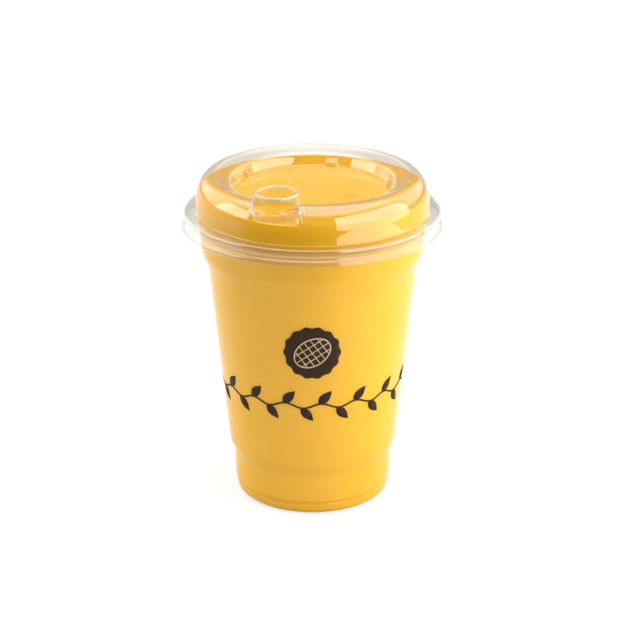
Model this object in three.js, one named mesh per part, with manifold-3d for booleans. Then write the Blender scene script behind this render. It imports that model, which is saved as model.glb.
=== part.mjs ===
// Mango smoothie in a clear takeaway cup with a clear sip-through lid.
// Millimetres, +Z up, origin at the centre of the cup's foot.
// Three pieces: the cup, the smoothie that fills it, and the lid snapped over its rim.
import * as THREE from "three";
import { mergeVertices } from "three/addons/utils/BufferGeometryUtils.js";
import Module from "manifold-3d";

const wasm = await Module();
wasm.setup();

// Driving dimensions
const ROUND_STEPS = 48; // facets round the cup, the smoothie and the lid
const SPOUT_STEPS = 32; // facets round the spout
const SHEET = 0.5; // thickness of the clear sheet
const GAP = 0.3; // play between neighbouring pieces

const CUP = {
  plateRadius: 23.3, // raised plate inside the foot
  plateHeight: 3.0,
  footInnerRadius: 24.8, // flat ring that the cup stands on
  footOuterRadius: 28.0,
  cornerRadius: 31.0, // top of the rounded corner above the foot
  cornerHeight: 6.2,
  bandRadius: 31.3, // top of the narrow band
  bandHeight: 16.4,
  bodyBottomRadius: 33.3, // straight taper of the body
  bodyBottomHeight: 23.4,
  bodyTopRadius: 40.7,
  bodyTopHeight: 93.8,
  collarBottomRadius: 43.3, // wider collar under the rim
  collarBottomHeight: 102.6,
  collarTopRadius: 44.2,
  collarTopHeight: 112.4,
  rimRadius: 49.0,
  rimInnerRadius: 45.5,
  rimBottom: 114.4,
  rimTop: 116.7,
};

const LID = {
  skirtRadius: 51.5, // flared lower edge
  skirtBottom: 111.7,
  biteRadius: 49.2, // groove that snaps in under the rim
  biteHeight: 113.6,
  beadRadius: 49.95, // bead over the rim
  beadBottom: 114.7,
  beadTop: 117.5,
  ringRadius: 45.7, // raised ring round the middle
  ringLean: 0.3, // how far the ring's wall leans in up to its shoulder
  shoulderHeight: 123.0,
  crestRadius: 38.3,
  crestHeight: 131.7,
  lipRadius: 31.9, // inner edge of the ring
  lipHeight: 128.9,
  deckRadius: 28.2, // sunk flat middle
  deckHeight: 125.2,
};

const SPOUT = {
  angle: THREE.MathUtils.degToRad(242.9), // seen from above, from +X
  reach: 29.2, // from the lid's axis to the spout's axis
  radius: 8.3,
  draft: 0.2, // how much wider it is at its root
  rootDepth: 1.5, // how far under the deck its wall starts
  top: 132.5,
  edgeRound: 1.0,
  holeRadius: 7.1,
  holeLength: 12,
  flareRadius: 14.2, // foot of the cone that blends the spout into the lip
  flareLength: 12, // box that the cone is kept to: outwards from the deck's edge
  flareAcross: 60,
  flareTall: 20,
};

// Bead's outer top corner, as steps inwards and down from it.
const BEAD_EDGE = [
  [0, 1.2],
  [0.4, 0.3],
  [1.3, 0],
];

// Rounded hollow: where its middle is, outwards and up, and its half sizes.
const LIP_REST = { reach: 42, height: 133.8, radial: 16, lateral: 10, vertical: 8 };

// Stacking pads against the recess wall. None stands within spoutClear degrees of the spout.
const LUG = { count: 6, firstAngle: 24, width: 4.6, depth: 1.4, height: 3.0, flare: 1.15, spoutClear: 30 };

const VENT = { x: 14.6, y: -7.6, radius: 3.0, topShare: 0.6, height: 0.5 };

const SMOOTHIE = {
  rimClear: 1.0, // how far under the cup's rim it widens into the lid
  deckEdgeRadius: 30.5,
  ringInnerRadius: 32.5,
  ringHeight: 124.9, // level of the drink inside the raised ring
};

// Outline helpers. An outline is a list of [radius, height] points.
const STRAIGHT_UP = Math.PI / 2;

function ellipseArc(centreR, centreZ, semiR, semiZ, fromAngle, toAngle, steps) {
  return Array.from({ length: steps + 1 }, (unused, i) => {
    const angle = fromAngle + ((toAngle - fromAngle) * i) / steps;
    return [centreR + semiR * Math.cos(angle), centreZ + semiZ * Math.sin(angle)];
  });
}

function easeBetween([r0, z0], [r1, z1], steps) {
  return Array.from({ length: steps + 1 }, (unused, i) => {
    const t = i / steps;
    const eased = t * t * (3 - 2 * t);
    return [r0 + (r1 - r0) * eased, z0 + (z1 - z0) * t];
  });
}

// Moves every point of an outline to its left by the same distance, measured square to the line.
function offsetOutline(outline, distance) {
  const points = outline.map(([r, z]) => new THREE.Vector2(r, z));
  const leftNormal = (a, b) => {
    const along = b.clone().sub(a).normalize();
    return new THREE.Vector2(-along.y, along.x);
  };
  return points.map((point, i) => {
    const before = i > 0 ? leftNormal(points[i - 1], point) : null;
    const after = i < points.length - 1 ? leftNormal(point, points[i + 1]) : null;
    if (!before || !after) {
      const normal = before || after;
      return [point.x + normal.x * distance, point.y + normal.y * distance];
    }
    const middle = before.clone().add(after).normalize();
    const stretch = distance / middle.dot(before);
    return [point.x + middle.x * stretch, point.y + middle.y * stretch];
  });
}

function turned(outline, steps = ROUND_STEPS) {
  const points = outline.map(([r, z]) => new THREE.Vector2(Math.max(r, 0), z));
  return new THREE.LatheGeometry(points, steps).rotateX(STRAIGHT_UP);
}

// Solid helpers, for the cuts and joins of the lid.
function toSolid(geometry) {
  const bare = geometry.clone();
  bare.deleteAttribute("normal");
  bare.deleteAttribute("uv");
  const merged = mergeVertices(bare, 1e-4);
  const index = merged.index.array;
  const triVerts = [];
  for (let i = 0; i < index.length; i += 3) {
    const [a, b, c] = [index[i], index[i + 1], index[i + 2]];
    if (a !== b && b !== c && c !== a) triVerts.push(a, b, c);
  }
  return new wasm.Manifold(
    new wasm.Mesh({
      numProp: 3,
      vertProperties: Float32Array.from(merged.attributes.position.array),
      triVerts: Uint32Array.from(triVerts),
    })
  );
}

function toGeometry(solid) {
  const mesh = solid.getMesh();
  const geometry = new THREE.BufferGeometry();
  geometry.setAttribute("position", new THREE.BufferAttribute(mesh.vertProperties, 3));
  geometry.setIndex(new THREE.BufferAttribute(mesh.triVerts, 1));
  geometry.computeVertexNormals();
  return geometry;
}

// Places a geometry on the spout's side of the lid: local +X points outwards from the lid's axis.
function atSpout(geometry, reach, height) {
  return geometry.translate(reach, 0, height).rotateZ(SPOUT.angle);
}

function cupOuterOutline() {
  const corner = ellipseArc(
    CUP.footOuterRadius,
    CUP.cornerHeight,
    CUP.cornerRadius - CUP.footOuterRadius,
    CUP.cornerHeight,
    -Math.PI / 2,
    0,
    4
  );
  const step = easeBetween([CUP.bandRadius, CUP.bandHeight], [CUP.bodyBottomRadius, CUP.bodyBottomHeight], 4);
  const shoulder = easeBetween(
    [CUP.bodyTopRadius, CUP.bodyTopHeight],
    [CUP.collarBottomRadius, CUP.collarBottomHeight],
    4
  );
  return [
    [0, CUP.plateHeight],
    [CUP.plateRadius, CUP.plateHeight],
    [CUP.footInnerRadius, 0],
    ...corner,
    ...step,
    ...shoulder,
    [CUP.collarTopRadius, CUP.collarTopHeight],
  ];
}

function cup() {
  const outside = cupOuterOutline();
  const inside = offsetOutline(outside, SHEET).reverse();
  const rimMiddle = (CUP.rimBottom + CUP.rimTop) / 2;
  const rimHalf = (CUP.rimTop - CUP.rimBottom) / 2;
  const rimEdge = ellipseArc(
    CUP.rimRadius - rimHalf,
    rimMiddle,
    rimHalf,
    rimHalf,
    -Math.PI / 2,
    Math.PI / 2,
    6
  );
  const rim = [
    [CUP.rimInnerRadius + SHEET, CUP.rimBottom],
    ...rimEdge,
    [CUP.rimInnerRadius, CUP.rimTop - SHEET],
  ];
  return turned([...outside, ...rim, ...inside]);
}

// Radius of the ring's outer surface at a height from the bead up to the crest.
function ringRadiusAt(height) {
  const rise = Math.max(0, (height - LID.shoulderHeight) / (LID.crestHeight - LID.shoulderHeight));
  return LID.crestRadius + (LID.ringRadius - LID.ringLean - LID.crestRadius) * Math.sqrt(1 - rise * rise);
}

function smoothie() {
  const inLid = SHEET + GAP;
  const walls = offsetOutline(cupOuterOutline(), inLid);
  const underDeck = LID.deckHeight - inLid;
  const top = [
    [ringRadiusAt(LID.beadTop) - inLid, CUP.rimTop - SMOOTHIE.rimClear],
    [ringRadiusAt(LID.shoulderHeight) - inLid, LID.shoulderHeight],
    [ringRadiusAt(SMOOTHIE.ringHeight) - inLid, SMOOTHIE.ringHeight],
    [SMOOTHIE.ringInnerRadius, SMOOTHIE.ringHeight],
    [SMOOTHIE.deckEdgeRadius, underDeck],
    [0, underDeck],
  ];
  return turned([...walls, ...top]);
}

// The lid's upper surface, from the skirt's lower edge up over the ring and down to the deck.
function lidOutline() {
  const shoulder = ellipseArc(
    LID.crestRadius,
    LID.shoulderHeight,
    LID.ringRadius - LID.ringLean - LID.crestRadius,
    LID.crestHeight - LID.shoulderHeight,
    0,
    Math.PI / 2,
    6
  );
  const crest = [LID.crestRadius, LID.crestHeight];
  const innerSlope = easeBetween(crest, [LID.lipRadius, LID.lipHeight], 3).slice(1);
  return [
    [LID.skirtRadius, LID.skirtBottom],
    [LID.biteRadius, LID.biteHeight],
    [LID.beadRadius, LID.beadBottom],
    ...BEAD_EDGE.map(([inwards, down]) => [LID.beadRadius - inwards, LID.beadTop - down]),
    [LID.ringRadius, LID.beadTop],
    ...shoulder,
    ...innerSlope,
    [LID.deckRadius, LID.deckHeight],
    [0, LID.deckHeight],
  ];
}

function spoutBlank(inset) {
  const radius = SPOUT.radius - inset;
  const top = SPOUT.top - inset;
  const round = SPOUT.edgeRound;
  const edge = ellipseArc(radius - round, top - round, round, round, 0, Math.PI / 2, 3);
  const root = LID.deckHeight - SPOUT.rootDepth - inset;
  const outline = [[0, root], [radius + SPOUT.draft, root], ...edge, [0, top]];
  return toSolid(atSpout(turned(outline, SPOUT_STEPS), SPOUT.reach, 0));
}

// Cone that blends the spout's sides into the lip, kept to the lip's side of the lid.
function flareBlank(inset) {
  const cone = [
    [0, LID.deckHeight - inset],
    [SPOUT.flareRadius - inset, LID.deckHeight - inset],
    [SPOUT.radius - inset, SPOUT.top - SPOUT.edgeRound - inset],
    [0, SPOUT.top - SPOUT.edgeRound - inset],
  ];
  const nearLip = new THREE.BoxGeometry(SPOUT.flareLength, SPOUT.flareAcross, SPOUT.flareTall);
  const boxReach = LID.deckRadius + SPOUT.flareLength / 2 + inset;
  return toSolid(atSpout(turned(cone, SPOUT_STEPS), SPOUT.reach, 0)).intersect(
    toSolid(atSpout(nearLip, boxReach, LID.deckHeight + SPOUT.flareTall / 4))
  );
}

// Hollow in the ring in front of the spout, where the lower lip rests.
function lipRestBlank(inset) {
  const ball = new THREE.SphereGeometry(1, ROUND_STEPS / 2, ROUND_STEPS / 3);
  ball.scale(LIP_REST.radial + inset, LIP_REST.lateral + inset, LIP_REST.vertical + inset);
  return toSolid(atSpout(ball, LIP_REST.reach, LIP_REST.height));
}

function lugBlanks(inset) {
  const middle = (LID.deckRadius + LID.lipRadius) / 2 - LUG.depth;
  const angles = Array.from({ length: LUG.count }, (unused, i) => LUG.firstAngle + (i * 360) / LUG.count);
  const spoutDegrees = THREE.MathUtils.radToDeg(SPOUT.angle);
  const clear = angles.filter((angle) => Math.abs(angle - spoutDegrees) > LUG.spoutClear);
  return clear.map((angle) => {
    const pad = new THREE.CylinderGeometry(1, LUG.flare, LUG.height, ROUND_STEPS / 4).rotateX(STRAIGHT_UP);
    pad.scale(2 * LUG.depth - inset, LUG.width / 2 - inset, 1);
    pad.translate(middle + LUG.depth, 0, LID.deckHeight + LUG.height / 2 - inset);
    return toSolid(pad.rotateZ(THREE.MathUtils.degToRad(angle)));
  });
}

function ventBlank(inset) {
  const topRadius = VENT.radius * VENT.topShare - inset;
  const cap = new THREE.CylinderGeometry(topRadius, VENT.radius - inset, 2 * VENT.height, SPOUT_STEPS / 2);
  cap.rotateX(STRAIGHT_UP).translate(VENT.x, VENT.y, LID.deckHeight - inset);
  return toSolid(cap);
}

function lidBlank(inset) {
  const surface = inset > 0 ? offsetOutline(lidOutline(), inset) : lidOutline();
  const below = LID.skirtBottom - inset;
  const shell = toSolid(turned([[0, below], [surface[0][0], below], ...surface]));
  const withFlare = shell.add(flareBlank(inset));
  const withRest = withFlare.subtract(lipRestBlank(inset));
  const raised = [spoutBlank(inset), ventBlank(inset), ...lugBlanks(inset)];
  return raised.reduce((whole, blank) => whole.add(blank), withRest);
}

function lid() {
  const { holeRadius, holeLength, reach, top } = SPOUT;
  const hole = new THREE.CylinderGeometry(holeRadius, holeRadius, holeLength, SPOUT_STEPS);
  hole.rotateX(STRAIGHT_UP);
  const sheet = lidBlank(0).subtract(lidBlank(SHEET));
  return toGeometry(sheet.subtract(toSolid(atSpout(hole, reach, top))));
}

const clearPlastic = { color: 0xf2efe8, roughness: 0.06, metalness: 0, transparent: true, opacity: 0.3 };
const fruitDrink = { color: 0xf3b640, roughness: 0.45, metalness: 0 };

function piece(name, geometry, finish) {
  const mesh = new THREE.Mesh(geometry, new THREE.MeshStandardMaterial(finish));
  mesh.name = name;
  return mesh;
}

const group = new THREE.Group();
group.add(piece("cup", cup(), clearPlastic));
group.add(piece("smoothie", smoothie(), fruitDrink));
group.add(piece("lid", lid(), clearPlastic));

export default group;
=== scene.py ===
"""Mango smoothie in a clear takeaway cup: the pieces that show, their finishes, and the stage."""

import math
import random

import bmesh
import bpy
from bpy.props import FloatProperty, FloatVectorProperty, IntProperty, PointerProperty
from mathutils import Matrix, Vector, noise
from mathutils.geometry import delaunay_2d_cdt


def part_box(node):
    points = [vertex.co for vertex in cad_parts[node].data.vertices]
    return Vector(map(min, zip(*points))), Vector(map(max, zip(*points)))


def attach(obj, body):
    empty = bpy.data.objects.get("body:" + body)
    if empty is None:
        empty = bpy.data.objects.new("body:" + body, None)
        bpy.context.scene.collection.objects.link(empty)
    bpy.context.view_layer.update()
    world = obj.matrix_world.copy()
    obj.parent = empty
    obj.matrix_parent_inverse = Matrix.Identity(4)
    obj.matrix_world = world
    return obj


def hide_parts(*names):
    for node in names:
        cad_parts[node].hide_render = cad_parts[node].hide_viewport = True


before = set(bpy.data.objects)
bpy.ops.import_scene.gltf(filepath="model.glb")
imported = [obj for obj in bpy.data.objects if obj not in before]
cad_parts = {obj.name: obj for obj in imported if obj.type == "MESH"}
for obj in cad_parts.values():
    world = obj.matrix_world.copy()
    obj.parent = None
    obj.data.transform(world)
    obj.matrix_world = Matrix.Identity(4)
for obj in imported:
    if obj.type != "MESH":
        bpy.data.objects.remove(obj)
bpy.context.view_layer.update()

bl_info = {
    "name": "Mango Smoothie Cup",
    "version": (1, 0, 0),
    "blender": (4, 5, 0),
    "location": "3D View > Sidebar > Smoothie",
    "description": "Builds a mango smoothie in a clear cup with a sip lid",
    "category": "Object",
}

MM = 0.001
ROUND_STEPS = 192
CUP_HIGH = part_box("cup")[1]
LID_LOW, LID_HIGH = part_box("lid")
DRINK_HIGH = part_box("smoothie")[1]
COLLAR_TOP = 112.4 * MM
RING_WALL_TOP = 123.0 * MM
RING_WALL_LEAN = 0.3 * MM


# Settings

def length(name, description, default):
    return FloatProperty(name=name, description=description, default=default, min=0.0, precision=5,
                         subtype="DISTANCE", unit="LENGTH")


def amount(name, description, default):
    return FloatProperty(name=name, description=description, default=default, min=0.0)


def colour(name, description, default):
    return FloatVectorProperty(name=name, description=description, default=default, size=3,
                               min=0.0, max=1.0, subtype="COLOR")


class CupSettings(bpy.types.PropertyGroup):
    wall: length("Wall", "Thickness of the clear sheet", 0.45 * MM)
    foot_radius: length("Foot Radius", "Outer edge of the flat ring that the cup stands on", 28.0 * MM)
    band_radius: length("Band Radius", "Narrow band above the foot", 31.3 * MM)
    body_bottom_radius: length("Body Bottom Radius", "Lower end of the tapered body", 33.3 * MM)
    body_top_radius: length("Body Top Radius", "Upper end of the tapered body", 40.7 * MM)
    collar_radius: length("Collar Radius", "Wider collar under the rim", 44.2 * MM)
    rim_radius: length("Rim Radius", "Outer edge of the curled rim", CUP_HIGH.x)
    rim_top: length("Rim Top", "Height of the curled rim", CUP_HIGH.z)
    tint: colour("Tint", "Colour that the clear sheet passes", (0.985, 0.98, 0.965))


class LidSettings(bpy.types.PropertyGroup):
    wall: length("Wall", "Thickness of the clear sheet", 0.45 * MM)
    skirt_radius: length("Skirt Radius", "Flared lower edge", LID_HIGH.x)
    skirt_bottom: length("Skirt Bottom", "Height of the flared lower edge", LID_LOW.z)
    ring_radius: length("Ring Radius", "Foot of the raised ring's outer wall", 45.7 * MM)
    crest_radius: length("Crest Radius", "Highest line of the raised ring", 38.3 * MM)
    crest_height: length("Crest Height", "Height of the raised ring", 131.7 * MM)
    lip_radius: length("Lip Radius", "Inner edge of the raised ring", 31.9 * MM)
    lip_height: length("Lip Height", "Height of the ring's inner edge", 128.9 * MM)
    deck_radius: length("Deck Radius", "Edge of the sunk flat middle", 29.9 * MM)
    deck_height: length("Deck Height", "Height of the sunk flat middle", 124.8 * MM)
    tint: colour("Tint", "Colour that the clear sheet passes", (0.93, 0.925, 0.91))


class SpoutSettings(bpy.types.PropertyGroup):
    angle: FloatProperty(name="Angle", description="Place of the spout round the lid, from the x axis",
                         default=math.radians(242.9), subtype="ANGLE", unit="ROTATION")
    reach: length("Reach", "From the lid's middle to the spout's middle", 29.2 * MM)
    radius: length("Radius", "Outer radius of the spout", 8.3 * MM)
    hole_radius: length("Hole Radius", "Opening to drink from", 7.1 * MM)
    top: length("Top", "Height of the spout", LID_HIGH.z)
    edge: length("Edge", "Rounding of the spout's rim", 0.6 * MM)
    flare_radius: length("Flare Radius", "Foot of the slopes that join the spout to the ring", 13.0 * MM)
    rest_width: length("Lip Rest Width", "Half the width of the hollow before the spout", 8.8 * MM)
    rest_floor: length("Lip Rest Floor", "Height of the hollow's floor at the spout", 126.3 * MM)


class DrinkSettings(bpy.types.PropertyGroup):
    level: length("Level", "Height of the drink's surface inside the ring", DRINK_HIGH.z)
    colour: colour("Colour", "Mango smoothie", (0.82, 0.44, 0.006))
    deep_colour: colour("Deep Colour", "Darker swirls of fruit", (0.78, 0.385, 0.004))
    pale_colour: colour("Pale Colour", "Foam and whipped air", (0.90, 0.56, 0.05))
    fleck_count: IntProperty(name="Flecks", description="Bits of fruit pulp at the wall", default=90, min=0)
    bubble_count: IntProperty(name="Bubbles", description="Small bubbles on the surface", default=150, min=0)


class PrintSettings(bpy.types.PropertyGroup):
    ink: colour("Ink", "Dark brown print", (0.032, 0.013, 0.006))
    motif_ink: colour("Motif Ink", "Pale lines on the badge", (0.55, 0.42, 0.26))
    badge_radius: length("Badge Radius", "Half the width of the badge", 11.2 * MM)
    badge_height: length("Badge Height", "Height of the badge's middle", 72.0 * MM)
    garland_height: length("Garland Height", "Height of the row of leaves", 49.0 * MM)
    leaf_length: length("Leaf Length", "Length of one printed leaf", 7.4 * MM)


class StageSettings(bpy.types.PropertyGroup):
    floor_colour: colour("Floor Colour", "Pale floor", (0.64, 0.64, 0.635))
    floor_glow: amount("Floor Glow", "How much the floor is lifted to white", 0.68)
    floor_size: length("Floor Size", "Half the width of the floor", 3.0)
    right_panel: amount("Right Panel", "Brightness of the soft panel on the right", 3.1)
    left_panel: amount("Left Panel", "Brightness of the soft panel on the left", 3.05)
    room_front: amount("Room Front", "Brightness of the room before the cup", 0.06)
    room_back: amount("Room Back", "Added brightness of the room behind the cup", 0.3)
    room_sides: amount("Room Sides", "Added brightness behind at both sides", 1.8)
    room_top: amount("Room Top", "Added brightness above the cup", 2.5)


SETTINGS = {
    "cup_settings": CupSettings,
    "lid_settings": LidSettings,
    "spout_settings": SpoutSettings,
    "drink_settings": DrinkSettings,
    "print_settings": PrintSettings,
    "stage_settings": StageSettings,
}


# Shader maths

class Wire:
    """A node socket in Python arithmetic: every operation adds one Math node."""

    def __init__(self, finish, socket):
        self.finish = finish
        self.socket = socket

    def math(self, operation, first, second):
        return self.finish.node("ShaderNodeMath", {"operation": operation}, {0: first, 1: second})

    def __add__(self, other):
        return self.math("ADD", self, other)

    def __radd__(self, other):
        return self.math("ADD", other, self)

    def __sub__(self, other):
        return self.math("SUBTRACT", self, other)

    def __rsub__(self, other):
        return self.math("SUBTRACT", other, self)

    def __mul__(self, other):
        return self.math("MULTIPLY", self, other)

    def __rmul__(self, other):
        return self.math("MULTIPLY", other, self)

    def __pow__(self, other):
        return self.math("POWER", self, other)


class Finish:
    """The nodes of one material, or of the room."""

    def __init__(self, owner, place="Object"):
        owner.use_nodes = True
        self.owner = owner
        self.tree = owner.node_tree
        self.tree.nodes.clear()
        self.place = self.node("ShaderNodeTexCoord", output=place)

    @classmethod
    def material(cls, name):
        return cls(bpy.data.materials.new(name))

    def node(self, kind, settings=None, sockets=None, output=0):
        """Adds a node: first its settings, then the values or links of its sockets."""
        made = self.tree.nodes.new(kind)
        for name, value in (settings or {}).items():
            setattr(made, name, value)
        for name, value in (sockets or {}).items():
            if isinstance(value, Wire):
                self.tree.links.new(value.socket, made.inputs[name])
            else:
                made.inputs[name].default_value = value
        return Wire(self, made.outputs[output]) if len(made.outputs) else made

    def noise(self, scale, detail=2.0, roughness=0.5):
        return self.node("ShaderNodeTexNoise", {}, {
            "Vector": self.place, "Scale": scale, "Detail": detail, "Roughness": roughness})

    def steps(self, value, low, high):
        """0 below low, 1 above high, and smooth between them."""
        return self.node("ShaderNodeMapRange", {"interpolation_type": "SMOOTHSTEP"}, {
            "Value": value, "From Min": low, "From Max": high})

    def blend(self, factor, first, second):
        """A colour between two colours."""
        first, second = [c if isinstance(c, Wire) else (*c, 1.0) for c in (first, second)]
        return self.node("ShaderNodeMix", {"data_type": "RGBA"}, {0: factor, 6: first, 7: second}, output=2)

    def along(self, direction):
        """How far the place lies along a direction."""
        return self.node("ShaderNodeVectorMath", {"operation": "DOT_PRODUCT"},
                         {0: self.place, 1: direction}, output="Value")

    def bump(self, height, distance):
        return self.node("ShaderNodeBump", {}, {"Height": height, "Distance": distance})

    def principled(self, **sockets):
        named = {name.replace("_", " "): value for name, value in sockets.items()}
        return self.node("ShaderNodeBsdfPrincipled", {}, named)

    def output(self, shader):
        self.node("ShaderNodeOutputMaterial", {}, {"Surface": shader})
        return self.owner


# Finishes

def clear_plastic(name, tint, wet=0.0, face_shine=0.06, edge_shine=0.9, cloud_and_highlight=0.0,
                  cloud_and_highlight_colour=(0.86, 0.855, 0.84)):
    """Clear formed sheet: it passes light straight, is glossy, and looks paler where it is seen edge-on.

    Where it is wet, its inner side touches the drink and doesn't shine. wet may be a number or a
    function that makes a wire from the finish. The shine grows from face_shine to the sum of both.
    """
    smear_haze, edge_haze = 0.006, 0.5
    finish = Finish.material(name)
    smear = finish.steps(finish.noise(55.0, 3.0), 0.45, 0.8)
    ripple = finish.bump(finish.noise(120.0, 1.0), 0.02 * MM)
    slant = finish.node("ShaderNodeLayerWeight", {}, {"Blend": 0.5, "Normal": ripple}, output="Facing")
    inner = finish.node("ShaderNodeNewGeometry", output="Backfacing")
    touched = wet(finish) if callable(wet) else wet
    shine = (face_shine + slant ** 5.0 * edge_shine) * (1.0 - inner * touched)
    # cloud_and_highlight lays an even film of cloud_and_highlight_colour over the sheet: real clouding, and
    # where that colour is cream, also a painted highlight
    haze_and_highlight = cloud_and_highlight + smear * smear_haze + slant ** 12.0 * edge_haze
    clear = finish.node("ShaderNodeBsdfTransparent", {}, {"Color": (*tint, 1.0)})
    film = finish.principled(Base_Color=(*cloud_and_highlight_colour, 1.0), Roughness=0.4, Normal=ripple)
    gloss = finish.node("ShaderNodeBsdfAnisotropic", {}, {
        "Color": (1.0, 1.0, 1.0, 1.0), "Roughness": 0.01 + smear * 0.02, "Normal": ripple})
    sheet = finish.node("ShaderNodeMixShader", {}, {0: haze_and_highlight, 1: clear, 2: film})
    return finish.output(finish.node("ShaderNodeMixShader", {}, {0: shine, 1: sheet, 2: gloss}))


def touches_drink(finish):
    """1 where the lid's inner side touches the drink: under the deck and in the ring's lower part."""
    flat = finish.node("ShaderNodeVectorMath", {"operation": "MULTIPLY"},
                       {0: finish.place, 1: (1.0, 1.0, 0.0)})
    radius = finish.node("ShaderNodeVectorMath", {"operation": "LENGTH"}, {0: flat}, output="Value")
    level = finish.node("ShaderNodeSeparateXYZ", {}, {0: finish.place}, output="Z")
    low = 1.0 - finish.steps(level, 125.0 * MM, 125.4 * MM)
    inside = 1.0 - finish.steps(radius, 45.8 * MM, 46.2 * MM)
    return low * inside


def smoothie_finish(drink):
    """Thick fruit drink: soft swirls, fine whipped grain and small paler spots of air."""
    finish = Finish.material("mango_smoothie")
    swirl = finish.steps(finish.noise(28.0, 4.0, 0.6), 0.35, 0.75)
    grain = finish.noise(900.0, 4.0, 0.7)
    cells = finish.node("ShaderNodeTexVoronoi", {}, {
        "Vector": finish.place, "Scale": 420.0, "Randomness": 1.0})
    air = 1.0 - finish.steps(cells, 0.05, 0.28)
    base = finish.blend(swirl * 0.45, drink.colour, drink.deep_colour)
    base = finish.blend(air * 0.22 + grain * 0.06, base, drink.pale_colour)
    surface = finish.principled(
        Base_Color=base,
        Roughness=0.28 + grain * 0.12,
        Specular_IOR_Level=0.12,
        Subsurface_Weight=0.3,
        Subsurface_Radius=(1.0, 0.55, 0.05),
        Subsurface_Scale=4.0 * MM,
        Normal=finish.bump(grain * 0.6 + air * 0.4, 0.05 * MM),
    )
    return finish.output(surface)


def pulp_finish(drink):
    """Bits of mango fibre, deeper in colour than the drink."""
    finish = Finish.material("mango_pulp")
    fibre = finish.noise(1500.0, 2.0)
    surface = finish.principled(
        Base_Color=finish.blend(fibre, drink.deep_colour, (0.74, 0.33, 0.01)),
        Roughness=0.35 + fibre * 0.2,
        Normal=finish.bump(fibre, 0.03 * MM),
    )
    return finish.output(surface)


def foam_finish(drink):
    """Thin skin of a small bubble in the drink."""
    finish = Finish.material("foam_bubbles")
    skin = finish.noise(800.0, 2.0)
    surface = finish.principled(
        Base_Color=finish.blend(skin, drink.pale_colour, drink.colour),
        Roughness=0.15 + skin * 0.2,
        Normal=finish.bump(skin, 0.02 * MM),
    )
    return finish.output(surface)


def ink_finish(name, ink):
    """Printed ink on the plastic, a little uneven in its cover."""
    finish = Finish.material(name)
    cover = finish.noise(1400.0, 3.0, 0.7)
    wider = finish.steps(finish.noise(160.0, 2.0), 0.3, 0.8)
    lighter = [min(1.0, channel * 1.4 + 0.004) for channel in ink]
    surface = finish.principled(
        Base_Color=finish.blend(cover * 0.5 + wider * 0.3, ink, lighter),
        Roughness=0.5 + cover * 0.18,
        Specular_IOR_Level=0.15,
        Normal=finish.bump(cover, 0.01 * MM),
    )
    return finish.output(surface)


def floor_finish(stage):
    """Pale seamless floor, shown lifted to white without lighting the cup more.

    For all but the camera's own rays it turns dark a little before the cup: painted shade, a dark patch that
    the cup reflects and that dims the light bounced onto it.
    """
    dark_from, dark_to = -0.12, -0.32
    dark = (0.1, 0.1, 0.1)
    finish = Finish.material("pale_floor")
    fleck = finish.noise(35.0, 3.0)
    pale = tuple(stage.floor_colour)
    base = finish.blend(fleck * 0.3, pale, [channel * 0.98 for channel in pale])
    rough = 0.75 + fleck * 0.1
    # painted shade: the floor before the cup darkened for reflections and bounced light only
    dim = finish.blend(finish.steps(finish.along((0.0, 1.0, 0.0)), dark_to, dark_from), dark, base)
    plain = finish.principled(Base_Color=dim, Roughness=rough, Specular_IOR_Level=0.1)
    lifted = finish.principled(
        Base_Color=finish.blend(0.6, base, (0.0, 0.0, 0.0)),
        Roughness=rough,
        Specular_IOR_Level=0.1,
        Emission_Color=(1.0, 1.0, 1.0, 1.0),
        Emission_Strength=stage.floor_glow,
    )
    seen = finish.node("ShaderNodeLightPath", output="Is Camera Ray")
    return finish.output(finish.node("ShaderNodeMixShader", {}, {0: seen, 1: plain, 2: lifted}))


# Outlines: lists of (radius, height)

def rounded(corners, steps=5):
    """Straight lines through corners of (radius, height, rounding), with each corner rounded."""
    points = []
    for i, (radius, height, rounding) in enumerate(corners):
        corner = Vector((radius, height))
        if rounding <= 0 or i in (0, len(corners) - 1):
            points.append(tuple(corner))
            continue
        before = Vector(corners[i - 1][:2]) - corner
        after = Vector(corners[i + 1][:2]) - corner
        start = corner + before.normalized() * min(rounding, before.length * 0.45)
        end = corner + after.normalized() * min(rounding, after.length * 0.45)
        for k in range(steps + 1):
            t = k / steps
            points.append(tuple(start * (1 - t) ** 2 + corner * 2 * t * (1 - t) + end * t ** 2))
    return points


def finer(points, longest):
    """The same outline with long stretches cut into equal parts."""
    fine = [points[0]]
    for start, end in zip(points, points[1:]):
        start, end = Vector(start), Vector(end)
        parts = max(1, math.ceil((end - start).length / longest))
        fine += [tuple(start.lerp(end, k / parts)) for k in range(1, parts + 1)]
    return fine


def inwards(points, distance):
    """The outline moved to its left by the same distance."""
    moved = []
    for i, point in enumerate(points):
        before = Vector(points[max(i - 1, 0)])
        after = Vector(points[min(i + 1, len(points) - 1)])
        along = (after - before).normalized()
        moved.append((max(point[0] - along.y * distance, 0.0), point[1] + along.x * distance))
    return moved


def eased(start, end, steps):
    """A soft s-curve in radius from one (radius, height) to another."""
    curve = []
    for k in range(steps + 1):
        t = k / steps
        radius = start[0] + (end[0] - start[0]) * t * t * (3 - 2 * t)
        curve.append((radius, start[1] + (end[1] - start[1]) * t))
    return curve


def radius_at(points, height):
    """Radius of an outline's outer side at a height."""
    for (r0, z0), (r1, z1) in zip(points, points[1:]):
        if z0 <= height <= z1 and z1 > z0:
            return r0 + (r1 - r0) * (height - z0) / (z1 - z0)
    raise ValueError(f"the outline has no point at height {height}")


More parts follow.
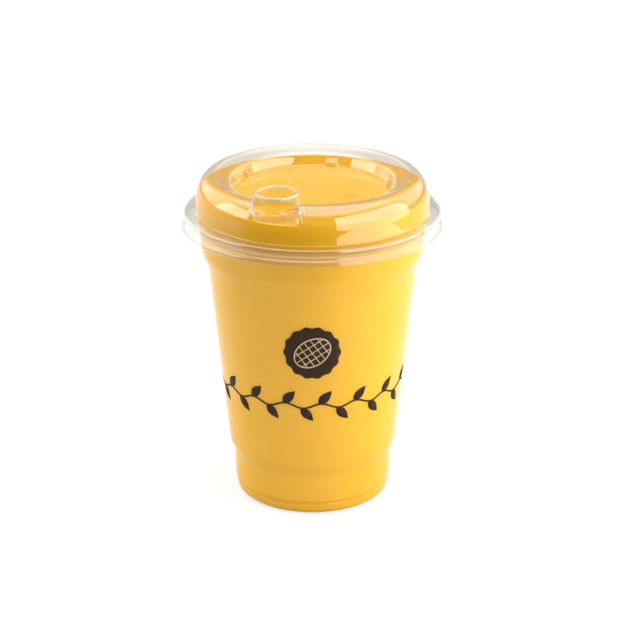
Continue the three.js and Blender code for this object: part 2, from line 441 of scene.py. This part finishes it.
def cup_body_outline(cup):
    """The cup's outer side, from the middle of its bottom up to its collar."""
    ledge_bottom, ledge_top = 16.4 * MM, 23.4 * MM
    shoulder_bottom, shoulder_top = 93.8 * MM, 102.6 * MM
    neck_radius = 43.3 * MM
    foot = rounded([
        (0.0, 3.0 * MM, 0),
        (23.3 * MM, 3.0 * MM, 1.2 * MM),
        (24.8 * MM, 0.0, 0.5 * MM),
        (cup.foot_radius, 0.0, 1.0 * MM),
        (30.0 * MM, 1.5 * MM, 0.7 * MM),
        (30.4 * MM, 4.2 * MM, 0.4 * MM),
        (30.1 * MM, 5.0 * MM, 0.3 * MM),
        (31.0 * MM, 6.2 * MM, 0.4 * MM),
        (cup.band_radius, 15.8 * MM, 0),
    ])
    ledge = eased((cup.band_radius, ledge_bottom), (cup.body_bottom_radius, ledge_top), 10)
    shoulder = eased((cup.body_top_radius, shoulder_bottom), (neck_radius, shoulder_top), 10)
    return finer(foot + ledge + shoulder + [(cup.collar_radius, COLLAR_TOP)], 3.0 * MM)


def cup_outline(cup):
    """The whole cup: its body and the rim that curls over and under."""
    rim = rounded([
        (cup.collar_radius, COLLAR_TOP, 0),
        (45.5 * MM, 115.2 * MM, 1.0 * MM),
        (46.3 * MM, cup.rim_top, 0.9 * MM),
        (48.6 * MM, cup.rim_top, 0.9 * MM),
        (cup.rim_radius, 115.6 * MM, 0.8 * MM),
        (48.3 * MM, 114.4 * MM, 0.7 * MM),
        (46.9 * MM, 114.6 * MM, 0),
    ])
    return cup_body_outline(cup) + rim[1:]


def ring_outline(lid):
    """The lid's raised ring from the top of its outer wall over the crest to the middle of the deck."""
    wall_radius = lid.ring_radius - RING_WALL_LEAN
    bend_steps = 14
    flat_edge = lid.deck_radius - 3.0 * MM
    flat_radii = (23.4, 21.6, 19.8, 18.0, 16.2, 14.4, 12.4, 10.2, 7.8, 5.2, 2.6)
    shoulder = []
    for k in range(bend_steps + 1):
        turn = math.pi / 2 * k / bend_steps
        shoulder.append((lid.crest_radius + (wall_radius - lid.crest_radius) * math.cos(turn),
                         RING_WALL_TOP + (lid.crest_height - RING_WALL_TOP) * math.sin(turn)))
    slope = eased((lid.crest_radius, lid.crest_height), (lid.lip_radius, lid.lip_height), 6)[1:-1]
    recess = rounded([
        (*slope[-1], 0),
        (lid.lip_radius, lid.lip_height, 0.9 * MM),
        (lid.deck_radius, lid.deck_height, 1.2 * MM),
        (flat_edge, lid.deck_height, 0),
    ], 7)[1:]
    flat = [(radius * MM, lid.deck_height) for radius in flat_radii]
    return shoulder + slope + recess + flat


def skirt_outline(lid):
    """The lid's outer side, from the flared lower edge up to the top of the ring's outer wall."""
    return rounded([
        (lid.skirt_radius, lid.skirt_bottom, 0),
        (49.2 * MM, 113.6 * MM, 0.6 * MM),
        (49.95 * MM, 114.7 * MM, 0.5 * MM),
        (49.95 * MM, 117.4 * MM, 1.3 * MM),
        (lid.ring_radius, 117.5 * MM, 0.8 * MM),
        (lid.ring_radius - RING_WALL_LEAN, RING_WALL_TOP, 0),
    ], 6)


# Meshes

def new_object(name, mesh, material):
    """Links a mesh as a named piece that rides on the cup."""
    made = bpy.data.objects.new(name, mesh)
    bpy.context.scene.collection.objects.link(made)
    if not mesh.polygons:
        raise RuntimeError(f"{name} came out with no faces")
    mesh.materials.append(material)
    mesh.shade_smooth()
    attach(made, "root")
    return made


def mesh_from(name, points, faces):
    mesh = bpy.data.meshes.new(name)
    mesh.from_pydata([tuple(p) for p in points], [], faces)
    mesh.validate()
    return mesh


def thicken(piece, thickness, offset=-1.0):
    """Gives an open sheet its thickness, inwards by default."""
    sheet = piece.modifiers.new("sheet", "SOLIDIFY")
    sheet.thickness = thickness
    sheet.offset = offset
    sheet.use_even_offset = True


def turned_mesh(name, outline, steps=ROUND_STEPS, reshape=None):
    """Turns an outline round the z axis. reshape may move each point."""
    points, rings, faces = [], [], []
    for radius, height in outline:
        count = 1 if radius < 1e-6 else steps
        rings.append([len(points) + k for k in range(count)])
        for k in range(count):
            turn = 2 * math.pi * k / steps
            point = Vector((radius * math.cos(turn), radius * math.sin(turn), height))
            points.append(reshape(point) if reshape else point)
    for low, high in zip(rings, rings[1:]):
        for k in range(steps):
            n = (k + 1) % steps
            if len(low) == 1:
                faces.append((low[0], high[n], high[k]))
            elif len(high) == 1:
                faces.append((low[k], low[n], high[0]))
            else:
                faces.append((low[k], low[n], high[n], high[k]))
    return mesh_from(name, points, faces)


def scattered_mesh(name, places, subdivisions=1):
    """One mesh with a small rounded grain at each (matrix) place."""
    grains = bmesh.new()
    for place in places:
        bmesh.ops.create_icosphere(grains, subdivisions=subdivisions, radius=1.0, matrix=place)
    mesh = bpy.data.meshes.new(name)
    grains.to_mesh(mesh)
    grains.free()
    return mesh


# The lid's sheet

def soft_max(a, b, width):
    """The higher of two heights, with the inner corner filled over a width."""
    h = max(width - abs(a - b), 0.0) / width
    return max(a, b) + h * h * width / 4


def ramp(value, low, high):
    t = min(max((value - low) / (high - low), 0.0), 1.0)
    return t * t * (3 - 2 * t)


class LidSheet:
    """Heights of the lid's upper side, with the spout, its slopes, the hollow, the lugs and the vent."""

    lug_angles = [math.radians(a) for a in (3.4, 75.4, 147.4, 291.4)]
    lug_height = 2.6 * MM
    vent = Vector((14.6 * MM, -7.6 * MM))
    vent_height = 0.5 * MM
    edge_band = 1.2 * MM

    def __init__(self, lid, spout):
        self.lid = lid
        self.spout = spout
        self.out = Vector((math.cos(spout.angle), math.sin(spout.angle)))
        self.middle = self.out * spout.reach
        self.ring = ring_outline(lid)
        self.steep = lid.ring_radius - self.edge_band

    def plain(self, place):
        """Height of the turned shape alone."""
        radius = place.length
        for (r1, z1), (r0, z0) in zip(self.ring, self.ring[1:]):
            if r0 <= radius <= r1:
                share = (radius - r0) / max(r1 - r0, 1e-9)
                return z0 + (z1 - z0) * share
        return self.lid.deck_height if radius < self.ring[-1][0] else self.ring[0][1]

    def height(self, place, plain=None):
        """Height of the sheet at a place, with all that stands on the turned shape or is cut into it."""
        height = self.plain(place) if plain is None else plain
        away = (place - self.middle).length
        height = self.with_slopes(place, away, height)
        height = self.with_hollow(place, height)
        height = soft_max(height, self.spout_height(away), self.spout.edge)
        height += self.lug_rise(place)
        height += self.vent_height * (1 - ramp((place - self.vent).length, 1.6 * MM, 2.9 * MM))
        return height

    def with_slopes(self, place, away, height):
        """Slopes from the spout's rim down to the ring on both sides of it."""
        lid, spout = self.lid, self.spout
        out = place.dot(self.out)
        deck_side, drop_start, drop_end, drop = 24.0 * MM, 26.0 * MM, 29.5 * MM, 8.0 * MM
        if out <= deck_side or away >= spout.flare_radius + 2.0 * MM:
            return height
        shoulder = spout.top - spout.edge
        share = (spout.flare_radius - away) / (spout.flare_radius - spout.radius)
        slope = lid.deck_height + (shoulder - lid.deck_height) * min(share, 1.0)
        slope -= (1 - ramp(out, drop_start, drop_end)) * drop
        return soft_max(height, slope, 1.0 * MM)

    def with_hollow(self, place, height):
        """The hollow in the ring's front before the spout, a place for the lower lip."""
        spout = self.spout
        fall, side_height, side_width = 1.0 * MM, 8.0 * MM, 1.0 * MM
        ahead = self.middle.y - place.y
        aside = abs(place.x - self.middle.x)
        if ahead <= 0 or aside >= spout.rest_width:
            return height
        floor = spout.rest_floor - fall * ramp(ahead, spout.radius, 2 * spout.radius)
        side = side_height * ramp(aside, spout.rest_width - side_width, spout.rest_width)
        return min(height, floor + side)

    def spout_height(self, away):
        """Rolled rim and steep wall of the spout, seen from its own middle."""
        spout = self.spout
        steepness = 40.0
        crest = spout.radius - spout.edge
        bend = (away - crest) / spout.edge
        if bend < 1:
            return spout.top - spout.edge * (1 - math.sqrt(max(1 - bend * bend, 0.0)))
        return spout.top - spout.edge - (away - spout.radius) * steepness

    def lug_rise(self, place):
        """Small stacking lugs that stand on the deck against the recess wall."""
        radius = place.length
        rise = 0.0
        for angle in self.lug_angles:
            turn = math.atan2(place.y, place.x) - angle
            turn = (turn + math.pi) % (2 * math.pi) - math.pi
            across = abs(turn) * radius
            if across < 3.0 * MM and radius > 27.0 * MM:
                width = 1 - ramp(across, 2.0 * MM, 2.5 * MM)
                depth = ramp(radius, 28.2 * MM, 28.8 * MM) * (1 - ramp(radius, 29.8 * MM, 31.6 * MM))
                rise = max(rise, self.lug_height * width * depth)
        return rise

    def spout_rings(self):
        """Distances from the spout's middle at which its mesh has a ring of points."""
        spout = self.spout
        crest = spout.radius - spout.edge
        rim = [crest + spout.edge * math.sin(math.pi / 2 * k / 6) for k in range(-6, 7)]
        wall = [spout.radius + 0.03 * MM * k for k in range(1, 10)]
        foot = [spout.radius + 0.3 * MM + 0.3 * MM * k for k in range(1, 16)]
        return rim + wall + foot

    def rest_places(self):
        """Extra points along both sides of the hollow, for its steep edges."""
        for side in (-1, 1):
            for inwards in (-0.1, 0.1, 0.35, 0.6, 0.85, 1.1):
                aside = side * (self.spout.rest_width - inwards * MM)
                for step in range(40):
                    yield self.middle + Vector((aside, -0.5 * MM * step))

    def lug_places(self):
        """Extra points over each lug, for its steep sides."""
        for angle in self.lug_angles:
            for i in range(-13, 14):
                for j in range(17):
                    radius = 28.0 * MM + 0.25 * MM * j
                    turn = angle + 0.2 * MM * i / radius
                    yield Vector((radius * math.cos(turn), radius * math.sin(turn)))

    def mesh(self, name):
        """Triangles over the ring and deck, then the skirt turned below them.

        Points come from rings round the lid, or near the spout from rings round the spout. Beyond
        the steep edge of the ring only the lid's own rings count, so that the skirt joins them.
        """
        spout, steep = self.spout, self.steep
        spout_zone = spout.radius + 5.4 * MM
        spout_wall = spout.radius + 0.6 * MM
        flat, heights = [], []
        for radius, height in self.ring:
            for k in range(ROUND_STEPS):
                turn = 2 * math.pi * k / ROUND_STEPS
                place = Vector((radius * math.cos(turn), radius * math.sin(turn)))
                if radius > steep or (place - self.middle).length > spout_zone:
                    flat.append(place)
                    heights.append(self.height(place, height))
        for away in self.spout_rings():
            for k in range(ROUND_STEPS // 2):
                turn = 4 * math.pi * k / ROUND_STEPS
                place = self.middle + Vector((math.cos(turn), math.sin(turn))) * away
                if place.length < steep:
                    flat.append(place)
                    heights.append(self.height(place))
        for place in [*self.lug_places(), *self.rest_places()]:
            if (place - self.middle).length > spout_wall and place.length < steep:
                flat.append(place)
                heights.append(self.height(place))
        flat.append(Vector((0.0, 0.0)))
        heights.append(self.lid.deck_height)
        corners, _, triangles, *_ = delaunay_2d_cdt(flat, [], [], 0, 1e-8)
        points = [Vector((p.x, p.y, heights[i])) for i, p in enumerate(corners)]
        faces = []
        for face in triangles:
            centre = sum((corners[i] for i in face), Vector((0.0, 0.0))) / 3
            if (centre - self.middle).length > spout.hole_radius:
                faces.append(tuple(face))
        above = list(range(ROUND_STEPS))
        for radius, height in reversed(skirt_outline(self.lid)[:-1]):
            below = []
            for k in range(ROUND_STEPS):
                turn = 2 * math.pi * k / ROUND_STEPS
                below.append(len(points))
                points.append(Vector((radius * math.cos(turn), radius * math.sin(turn), height)))
            for k in range(ROUND_STEPS):
                n = (k + 1) % ROUND_STEPS
                faces.append((below[k], below[n], above[n], above[k]))
            above = below
        return mesh_from(name, points, faces)


# Flat print wrapped on the cup

def scalloped_loop(radius, scallops, depth):
    """A closed round outline with an even row of scallops. depth is a share of the radius."""
    count = 12 * scallops
    loop = []
    for k in range(count):
        turn = 2 * math.pi * k / count
        reach = radius * (1 - depth + depth * math.cos(scallops * turn))
        loop.append(Vector((math.cos(turn), math.sin(turn))) * reach)
    return loop


def leaf_loop(stalk, angle, size, width):
    """A pointed leaf lying along an angle from its stalk end."""
    count = 9
    along = Vector((math.cos(angle), math.sin(angle)))
    across = Vector((-along.y, along.x))
    sides = []
    for side in (1, -1):
        for k in range(count):
            t = k / count if side > 0 else 1 - k / count
            bulge = math.sin(math.pi * t ** 0.8) * width / 2
            sides.append(stalk + along * size * t + across * side * bulge)
    return sides


def ribbon_loop(path, width):
    """A closed outline of even width along a path."""
    left, right = [], []
    for i, point in enumerate(path):
        along = (path[min(i + 1, len(path) - 1)] - path[max(i - 1, 0)]).normalized()
        across = Vector((-along.y, along.x)) * width / 2
        left.append(point + across)
        right.append(point - across)
    return left + right[::-1]


def filled(loop, spacing):
    """Triangles inside a flat outline, with points inside it so that it can bend."""
    low = Vector((min(p.x for p in loop), min(p.y for p in loop)))
    high = Vector((max(p.x for p in loop), max(p.y for p in loop)))
    inside = []
    for i in range(1, int((high.x - low.x) / spacing) + 1):
        for j in range(1, int((high.y - low.y) / spacing) + 1):
            inside.append(low + Vector((i * spacing, j * spacing)))
    corners, _, triangles, *_ = delaunay_2d_cdt(loop + inside, [], [list(range(len(loop)))], 1, 1e-9)
    used = sorted({i for face in triangles for i in face})
    number = {old: new for new, old in enumerate(used)}
    return [corners[i] for i in used], [tuple(number[i] for i in face) for face in triangles]


def wrapped_mesh(name, loops, cup, height, lift):
    """Flat outlines wrapped on the front of the cup's tapered side, a little proud of it."""
    facing = -math.pi / 2
    spacing = 2.0 * MM
    side = cup_body_outline(cup)
    middle_radius = radius_at(side, height)
    points, faces = [], []
    for loop in loops:
        corners, triangles = filled(loop, spacing)
        first = len(points)
        for corner in corners:
            turn = facing + corner.x / middle_radius
            level = height + corner.y
            radius = radius_at(side, level) + lift
            points.append((radius * math.cos(turn), radius * math.sin(turn), level))
        faces += [tuple(first + i for i in face) for face in triangles]
    return mesh_from(name, points, faces)


# Operators

class SMOOTHIE_OT_cup(bpy.types.Operator):
    """Build the clear cup with its foot, ledge, collar and curled rim"""
    bl_idname = "smoothie.cup"
    bl_label = "Clear Cup"

    def execute(self, context):
        cup = context.scene.cup_settings
        material = clear_plastic("clear_cup_sheet", cup.tint, wet=1.0, face_shine=0.038, edge_shine=0.4)
        piece = new_object("cup_wall", turned_mesh("cup_wall", cup_outline(cup)), material)
        thicken(piece, cup.wall)
        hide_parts("cup")
        return {"FINISHED"}


class SMOOTHIE_OT_drink(bpy.types.Operator):
    """Build the smoothie that fills the cup and stands in the lid's ring"""
    bl_idname = "smoothie.drink"
    bl_label = "Smoothie"

    def execute(self, context):
        cup, lid = context.scene.cup_settings, context.scene.lid_settings
        drink = context.scene.drink_settings
        into_wall = 0.3 * MM
        walls = inwards(cup_body_outline(cup), cup.wall - into_wall)
        ring_wall = lid.ring_radius - lid.wall + into_wall
        under_deck = lid.deck_height - lid.wall + into_wall
        top = rounded([
            (*walls[-1], 0),
            (44.7 * MM, 115.6 * MM, 0.6 * MM),
            (ring_wall, 117.2 * MM, 0.5 * MM),
            (ring_wall - 0.3 * MM, 123.0 * MM, 1.0 * MM),
            (44.7 * MM, drink.level + 0.35 * MM, 0.5 * MM),
            (43.2 * MM, drink.level, 1.2 * MM),
            (32.0 * MM, drink.level, 0),
            (lid.deck_radius, under_deck, 0.8 * MM),
            (0.0, under_deck, 0),
        ])

        swell, sink = 0.45 * MM, 0.25 * MM
        broad, fine = 90.0, 260.0

        def uneven(point):
            """Small swells in the drink's surface inside the ring."""
            radius = math.hypot(point.x, point.y)
            share = ramp(radius, 28.6 * MM, 31.0 * MM) * (1 - ramp(radius, 42.5 * MM, 44.6 * MM))
            if point.z > drink.level - 1.0 * MM:
                wave = noise.noise(point * broad) + 0.4 * noise.noise(point * fine)
                point.z += share * (swell * wave - sink)
            return point

        outline = walls + finer(top, 1.5 * MM)[1:]
        piece = new_object("drink", turned_mesh("drink", outline, reshape=uneven),
                           smoothie_finish(drink))
        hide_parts("smoothie")
        return {"FINISHED"}


class SMOOTHIE_OT_pulp(bpy.types.Operator):
    """Scatter bits of fruit pulp at the wall and small bubbles on the drink's surface"""
    bl_idname = "smoothie.pulp"
    bl_label = "Pulp and Bubbles"

    def execute(self, context):
        cup, lid = context.scene.cup_settings, context.scene.lid_settings
        drink = context.scene.drink_settings
        chance = random.Random(4)
        side = cup_body_outline(cup)
        fleck_thickness, into_wall = 0.10 * MM, 0.12 * MM
        bubble_height = 0.2 * MM
        flecks = []
        for _ in range(drink.fleck_count):
            height = chance.uniform(9.0 * MM, 108.0 * MM)
            turn = chance.uniform(0, 2 * math.pi)
            radius = radius_at(side, height) - cup.wall + into_wall
            size = chance.uniform(0.25, 0.75) * MM * chance.choice((1.0, 1.0, 1.6))
            place = Matrix.Rotation(turn, 4, "Z") @ Matrix.Translation((radius, 0, height))
            tilt = Matrix.Rotation(chance.uniform(0, math.pi), 4, "X")
            narrow = size * chance.uniform(0.5, 1.0)
            flecks.append(place @ tilt @ Matrix.Diagonal((fleck_thickness, narrow, size, 1)))
        new_object("pulp_flecks", scattered_mesh("pulp_flecks", flecks), pulp_finish(drink))

        bubbles = []
        for _ in range(drink.bubble_count):
            radius = chance.choice((chance.uniform(33.5, 43.4), chance.uniform(2.0, 27.0))) * MM
            turn = chance.uniform(0, 2 * math.pi)
            size = chance.uniform(0.25, 0.8) * MM
            level = drink.level - 0.1 * MM if radius > 30 * MM else lid.deck_height - lid.wall + 0.1 * MM
            place = Matrix.Rotation(turn, 4, "Z") @ Matrix.Translation((radius, 0, level))
            bubbles.append(place @ Matrix.Diagonal((size, size, min(size * 0.5, bubble_height), 1)))
        new_object("foam_bubbles", scattered_mesh("foam_bubbles", bubbles, 2), foam_finish(drink))
        return {"FINISHED"}


class SMOOTHIE_OT_lid(bpy.types.Operator):
    """Build the clear lid with its skirt, raised ring, recess, sip spout, lugs and vent"""
    bl_idname = "smoothie.lid"
    bl_label = "Clear Lid"

    def execute(self, context):
        lid, spout = context.scene.lid_settings, context.scene.spout_settings
        material = clear_plastic("clear_lid_sheet", lid.tint, wet=touches_drink)
        piece = new_object("lid_sheet", LidSheet(lid, spout).mesh("lid_sheet"), material)
        thicken(piece, lid.wall)
        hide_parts("lid")

        crest = spout.radius - spout.edge
        bead = []
        for k in range(17):
            turn = 2 * math.pi * k / 16
            bead.append((crest + spout.edge * math.cos(turn), spout.edge * (math.sin(turn) - 1)))
        # Spout's rolled rim: partly real clouding of the thicker plastic, partly a painted highlight, a
        # cream film standing in for the bright line of light that the rim gathers
        material = clear_plastic("rim_cloud_and_painted_highlight", lid.tint, cloud_and_highlight=0.35, cloud_and_highlight_colour=(0.95, 0.82, 0.52))
        rim = new_object("spout_rim", turned_mesh("spout_rim", bead, ROUND_STEPS // 2), material)
        rim.location = (spout.reach * math.cos(spout.angle), spout.reach * math.sin(spout.angle), spout.top)
        return {"FINISHED"}


class SMOOTHIE_OT_print(bpy.types.Operator):
    """Print a scalloped fruit badge and a garland of leaves round the front of the cup"""
    bl_idname = "smoothie.print"
    bl_label = "Print"

    def execute(self, context):
        cup, ink = context.scene.cup_settings, context.scene.print_settings
        dark = ink_finish("brown_ink", tuple(ink.ink))
        pale = ink_finish("pale_ink", tuple(ink.motif_ink))

        badge = scalloped_loop(ink.badge_radius, 14, 0.03)
        mesh = wrapped_mesh("badge_print", [badge], cup, ink.badge_height, 0.02 * MM)
        thicken(new_object("badge_print", mesh, dark), 0.05 * MM, 1.0)

        mesh = wrapped_mesh("badge_fruit", self.fruit(), cup, ink.badge_height, 0.08 * MM)
        thicken(new_object("badge_fruit", mesh, pale), 0.03 * MM, 1.0)

        mesh = wrapped_mesh("leaf_garland", self.garland(ink), cup, ink.garland_height, 0.02 * MM)
        thicken(new_object("leaf_garland", mesh, dark), 0.05 * MM, 1.0)
        return {"FINISHED"}

    @staticmethod
    def fruit():
        """Half a mango cut in squares: an oval band round two sets of crossing lines."""
        long, short, line = 7.6 * MM, 5.4 * MM, 0.45 * MM
        thin, square = line * 0.7, 2.5 * MM
        lean = Matrix.Rotation(math.radians(35), 2)
        loops = []
        half_steps = 24
        rim = []
        for k in range(2 * half_steps + 1):
            turn = math.pi * k / half_steps
            rim.append(Vector((long * math.cos(turn), short * math.sin(turn))))
        for start in (0, half_steps):
            loops.append(ribbon_loop(rim[start:start + half_steps + 1], line))
        for k in (-2, -1, 0, 1, 2):
            place = k * square
            half = short * math.sqrt(1 - (place / long) ** 2) - line
            path = [Vector((place, half * t / 4)) for t in range(-4, 5)]
            loops.append(ribbon_loop(path, thin))
        for k in (-1, 0, 1):
            place = k * square
            half = long * math.sqrt(1 - (place / short) ** 2) - line
            path = [Vector((half * t / 4, place)) for t in range(-4, 5)]
            loops.append(ribbon_loop(path, thin))
        return [[lean @ point for point in loop] for loop in loops]

    @staticmethod
    def garland(ink):
        """A wavy stem with broad leaves on both sides."""
        half = 50.0 * MM
        pitch = 7.0 * MM
        stem_width, leaf_width = 0.7 * MM, 3.7 * MM

        def stem(x):
            return Vector((x, 1.0 * MM * math.sin(math.pi * x / pitch)))

        loops = [ribbon_loop([stem(-half + half * k / 55) for k in range(111)], stem_width)]
        for k in range(int(2 * half / pitch)):
            lean = math.radians(48 if k % 2 else -48)
            loops.append(leaf_loop(stem(-half + pitch * (k + 0.5)), lean, ink.leaf_length, leaf_width))
        return loops


class SMOOTHIE_OT_stage(bpy.types.Operator):
    """Lay the pale floor, hang the soft lights and place the camera"""
    bl_idname = "smoothie.stage"
    bl_label = "Stage"

    def execute(self, context):
        stage = context.scene.stage_settings
        self.floor(stage)
        self.panel("right_panel", stage.right_panel, math.radians(62), distance=0.31, width=0.52,
                   bottom=0.05, top=0.40)
        self.panel("left_panel", stage.left_panel, math.radians(-84), distance=0.60, width=0.46,
                   bottom=0.18, top=0.60)
        self.room(context.scene, stage)
        self.camera(context.scene)
        context.scene.view_settings.view_transform = "Standard"
        context.scene.cycles.transparent_max_bounces = 24
        return {"FINISHED"}

    @staticmethod
    def floor(stage):
        reach = stage.floor_size
        corners = [(-reach, -reach, 0), (reach, -reach, 0), (reach, reach, 0), (-reach, reach, 0)]
        mesh = mesh_from("floor", corners, [(0, 1, 2, 3)])
        mesh.materials.append(floor_finish(stage))
        made = bpy.data.objects.new("floor", mesh)
        bpy.context.scene.collection.objects.link(made)

    @staticmethod
    def panel(name, brightness, turn, distance, width, bottom, top):
        """An upright soft light. turn is its place round the cup, from the front towards the right."""
        lamp = bpy.data.lights.new(name, "AREA")
        lamp.shape = "RECTANGLE"
        lamp.size = width
        lamp.size_y = top - bottom
        lamp.energy = brightness * math.pi * lamp.size * lamp.size_y
        made = bpy.data.objects.new(name, lamp)
        bpy.context.scene.collection.objects.link(made)
        made.location = (distance * math.sin(turn), -distance * math.cos(turn), (bottom + top) / 2)
        made.rotation_euler = (math.radians(90), 0, turn)

    @staticmethod
    def room(scene, stage):
        """Soft room: dim before the cup, brighter behind it and at both sides there, brightest above."""
        world = bpy.data.worlds.new("room")
        finish = Finish(world, "Generated")
        back = finish.along((0.0, 1.0, 0.0))
        up = finish.along((0.0, 0.0, 1.0))
        across = finish.along((1.0, 0.0, 0.0))
        behind = finish.steps(back, -0.2, 0.5)
        beside = finish.steps(across * across, 0.05, 0.3) * finish.steps(up, 0.0, 0.2)
        above = finish.steps(up, 0.65, 0.92)
        light = (stage.room_front + behind * stage.room_back
                 + behind * beside * stage.room_sides + above * stage.room_top)
        sky = finish.node("ShaderNodeBackground", {}, {"Color": (1.0, 0.995, 0.985, 1.0), "Strength": light})
        finish.node("ShaderNodeOutputWorld", {}, {"Surface": sky})
        scene.world = world

    @staticmethod
    def camera(scene):
        """A long lens at table distance, looking down on the lid."""
        look_down = math.radians(21.18)
        lens = bpy.data.cameras.new("camera")
        lens.lens = 137.96
        lens.sensor_width = 36.0
        made = bpy.data.objects.new("camera", lens)
        scene.collection.objects.link(made)
        made.location = (0.00295, -0.90381, 0.42091)
        made.rotation_euler = (math.radians(90) - look_down, 0, 0)
        scene.camera = made


class SMOOTHIE_PT_panel(bpy.types.Panel):
    bl_label = "Mango Smoothie"
    bl_idname = "SMOOTHIE_PT_panel"
    bl_space_type = "VIEW_3D"
    bl_region_type = "UI"
    bl_category = "Smoothie"

    def draw(self, context):
        for made in OPERATORS:
            self.layout.operator(made.bl_idname)
        for name, group in SETTINGS.items():
            box = self.layout.box()
            for prop in group.__annotations__:
                box.prop(getattr(context.scene, name), prop)


OPERATORS = (
    SMOOTHIE_OT_cup,
    SMOOTHIE_OT_drink,
    SMOOTHIE_OT_pulp,
    SMOOTHIE_OT_lid,
    SMOOTHIE_OT_print,
    SMOOTHIE_OT_stage,
)


def register():
    for name, group in SETTINGS.items():
        bpy.utils.register_class(group)
        setattr(bpy.types.Scene, name, PointerProperty(type=group))
    for made in OPERATORS:
        bpy.utils.register_class(made)
    bpy.utils.register_class(SMOOTHIE_PT_panel)


def unregister():
    bpy.utils.unregister_class(SMOOTHIE_PT_panel)
    for made in reversed(OPERATORS):
        bpy.utils.unregister_class(made)
    for name, group in SETTINGS.items():
        delattr(bpy.types.Scene, name)
        bpy.utils.unregister_class(group)


def main():
    register()
    bpy.ops.smoothie.cup()
    bpy.ops.smoothie.drink()
    bpy.ops.smoothie.pulp()
    bpy.ops.smoothie.lid()
    bpy.ops.smoothie.print()
    bpy.ops.smoothie.stage()


if __name__ == "__main__":
    main()
